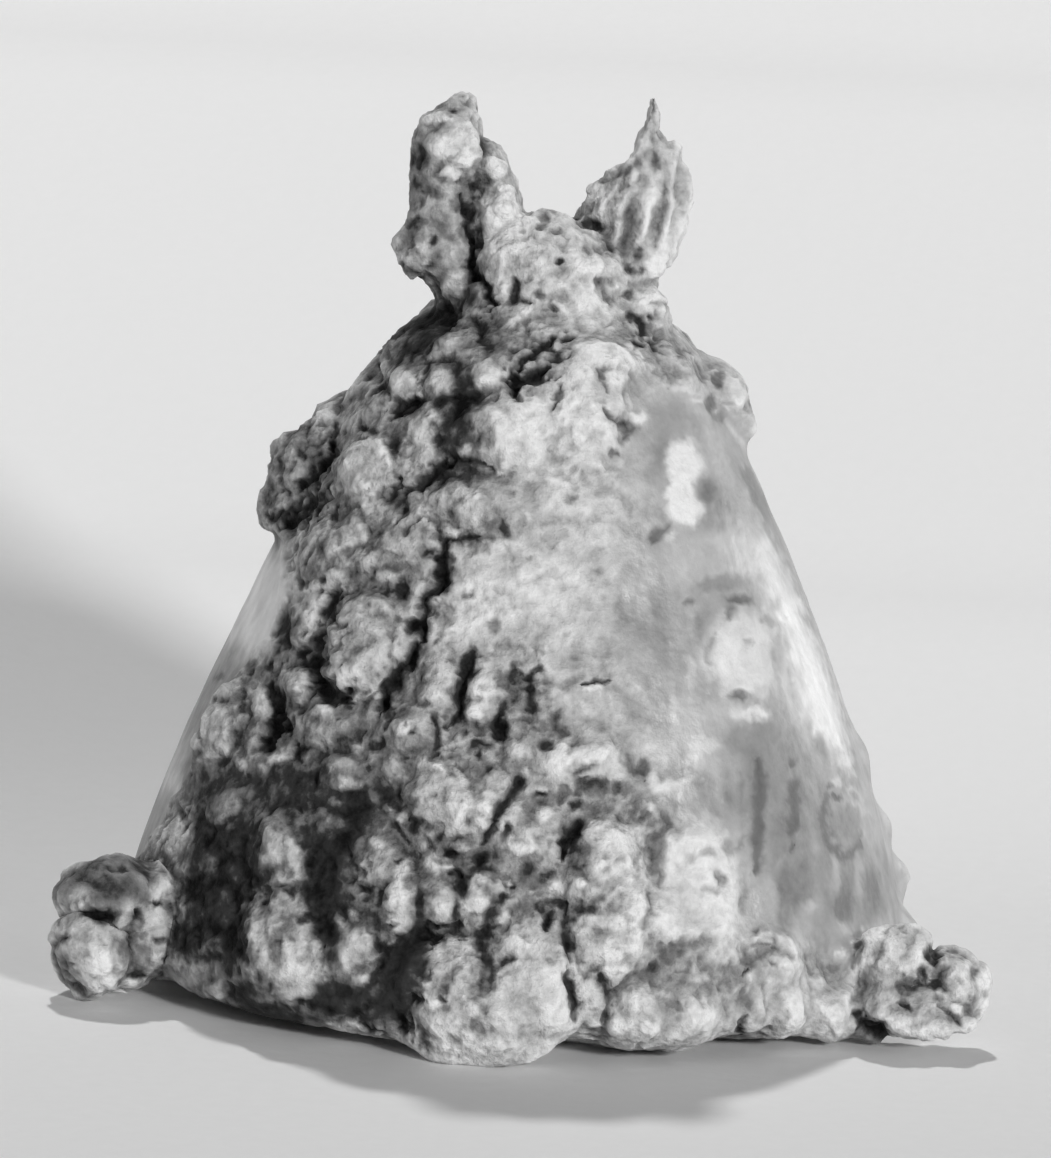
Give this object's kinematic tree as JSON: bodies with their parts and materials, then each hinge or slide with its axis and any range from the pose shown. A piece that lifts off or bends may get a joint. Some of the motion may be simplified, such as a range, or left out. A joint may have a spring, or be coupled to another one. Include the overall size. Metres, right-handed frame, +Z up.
{
  "type": "native silver specimen",
  "caption": "Bell-shaped native silver specimen with smooth metal flanks, a knobbly nodular crust over its front and foot, and broken horns at the top; stands on a flat base.",
  "frame": {"origin": "middle of the foot, on the plane that the specimen rests on", "axes": "+Z up; -Y towards the crusted front; the two horns stand apart along X"},
  "size_m": [0.0772, 0.0732, 0.0741],
  "materials": {
    "tarnished_silver": "satin"
  },
  "bodies": {
    "root": {"silver_mass": "tarnished_silver"}
  },
  "joints": []
}
